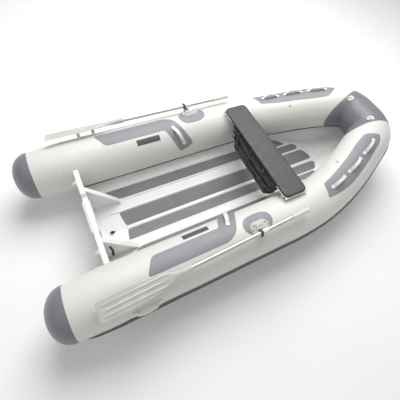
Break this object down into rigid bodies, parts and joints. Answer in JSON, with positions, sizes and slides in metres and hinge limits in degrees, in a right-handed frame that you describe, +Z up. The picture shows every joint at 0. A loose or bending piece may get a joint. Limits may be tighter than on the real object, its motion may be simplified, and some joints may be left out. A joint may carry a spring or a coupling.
{
  "type": "inflatable dinghy",
  "caption": "Rigid inflatable tender: inflated side tubes on a V-shaped metal hull, bench seat with a hanging bag, transom for an outboard motor, and two stowed oars on pivoting locks.",
  "frame": {"origin": "on the ground under the keel, at the middle of the overall length and width", "axes": "+X towards the bow, +Y to port, +Z up"},
  "size_m": [3.4401, 1.6942, 0.7147],
  "materials": {
    "tube_fabric": "smooth coated fabric, light cream, satin",
    "panel_fabric": "smooth coated fabric, dark grey, satin",
    "baffle_fabric": "plain coated fabric",
    "patch_fabric": "smooth coated fabric, mid grey",
    "strake_rubber": "ribbed rubber, dark grey",
    "handle_white": "flexible moulded plastic, off-white",
    "hull_paint": "white powder coat, lightly textured",
    "guard_plastic": "black moulded strip",
    "pad_rubber": "textured anti-slip sheet, grey",
    "motor_pad_plastic": "moulded plate, off-white",
    "black_plastic": "moulded, black",
    "socket_metal": "turned, satin",
    "grey_plastic": "moulded, grey",
    "steel": "polished stainless",
    "lock_plastic": "moulded, cream",
    "grip_plastic": "moulded, cream, fine ribs",
    "collar_plastic": "moulded, black",
    "oar_alloy": "anodised, satin",
    "seat_plastic": "textured, dark grey",
    "bracket_alloy": "white powder coat",
    "bag_fabric": "woven, black"
  },
  "bodies": {
    "boat": {"blade_rests": "lock_plastic", "bow_handles_port": "handle_white", "bow_handles_starboard": "handle_white", "bow_patch_port": "patch_fabric", "bow_patch_starboard": "patch_fabric", "bow_ring_bases": "steel", "chamber_baffles": "baffle_fabric", "drain_socket": "socket_metal", "end_cone_port": "panel_fabric", "end_cone_starboard": "panel_fabric", "floor_pads_bow": "pad_rubber", "floor_pads_inner": "pad_rubber", "floor_pads_outer": "pad_rubber", "floor_ribs": "hull_paint", "hull_plate": "hull_paint", "keel_guard": "guard_plastic", "keelson": "hull_paint", "lashing_eyes": "steel", "lifting_handle_port": "handle_white", "lifting_handle_starboard": "handle_white", "lock_base_port": "lock_plastic", "lock_base_starboard": "lock_plastic", "lock_patches": "patch_fabric", "motor_pad_inner": "motor_pad_plastic", "motor_pad_outer": "motor_pad_plastic", "rating_plates": "black_plastic", "seat_bag": "bag_fabric", "seat_board": "seat_plastic", "seat_bolts": "steel", "seat_brackets": "bracket_alloy", "side_handle_port": "handle_white", "side_handle_starboard": "handle_white", "side_patch_port": "patch_fabric", "side_patch_starboard": "patch_fabric", "strake_bow": "strake_rubber", "strake_port": "strake_rubber", "strake_starboard": "strake_rubber", "tow_eyes": "steel", "transom": "hull_paint", "transom_knee_port": "hull_paint", "transom_knee_starboard": "hull_paint", "tube_bow": "panel_fabric", "tube_port": "tube_fabric", "tube_starboard": "tube_fabric", "valve_bodies": "grey_plastic"},
    "oarlock_port": {"lock_yoke_port": "steel"},
    "oar_port": {"oar_shaft_port": "oar_alloy", "oar_blade_port": "lock_plastic", "oar_grip_port": "grip_plastic", "oar_collar_port": "collar_plastic"},
    "bow_ring_port": {"bow_ring_port": "steel"},
    "valve_cap_port": {"valve_cap_port": "black_plastic"},
    "oarlock_starboard": {"lock_yoke_starboard": "steel"},
    "oar_starboard": {"oar_shaft_starboard": "oar_alloy", "oar_blade_starboard": "lock_plastic", "oar_grip_starboard": "grip_plastic", "oar_collar_starboard": "collar_plastic"},
    "bow_ring_starboard": {"bow_ring_starboard": "steel"},
    "valve_cap_starboard": {"valve_cap_starboard": "black_plastic"},
    "drain_plug": {"drain_plug": "black_plastic"}
  },
  "joints": [
    {"name": "oarlock_rock_port", "type": "hinge", "parent": "boat", "child": "oarlock_port", "pos_m": [-0.188, 0.7037, 0.53452], "axis": [-1, 0, 0], "range_deg": [-10, 20]},
    {"name": "oar_swing_port", "type": "hinge", "parent": "oarlock_port", "child": "oar_port", "pos_m": [-0.188, 0.72124, 0.57047], "axis": [0, -0.4384, -0.8988], "range_deg": [0, 108]},
    {"name": "bow_ring_lift_port", "type": "hinge", "parent": "boat", "child": "bow_ring_port", "pos_m": [1.39557, 0.14974, 0.70666], "axis": [-0.0519, 0.985, 0.1644], "range_deg": [0, 120]},
    {"name": "valve_cap_turn_port", "type": "hinge", "parent": "boat", "child": "valve_cap_port", "pos_m": [0.62157, 0.34758, 0.25843], "axis": [-0.1821, -0.9224, -0.3406], "range_deg": [0, 90]},
    {"name": "oarlock_rock_starboard", "type": "hinge", "parent": "boat", "child": "oarlock_starboard", "pos_m": [-0.188, -0.7037, 0.53452], "axis": [1, 0, 0], "range_deg": [-10, 20]},
    {"name": "oar_swing_starboard", "type": "hinge", "parent": "oarlock_starboard", "child": "oar_starboard", "pos_m": [-0.188, -0.72124, 0.57047], "axis": [0, -0.4384, 0.8988], "range_deg": [0, 108]},
    {"name": "bow_ring_lift_starboard", "type": "hinge", "parent": "boat", "child": "bow_ring_starboard", "pos_m": [1.39557, -0.14974, 0.70666], "axis": [0.0519, 0.985, -0.1644], "range_deg": [0, 120]},
    {"name": "valve_cap_turn_starboard", "type": "hinge", "parent": "boat", "child": "valve_cap_starboard", "pos_m": [0.62157, -0.34758, 0.25843], "axis": [0.1821, -0.9224, 0.3406], "range_deg": [0, 90]},
    {"name": "drain_plug_pull", "type": "slide", "parent": "boat", "child": "drain_plug", "axis": [0, 0, 1], "range_m": [0, 0.03]}
  ]
}
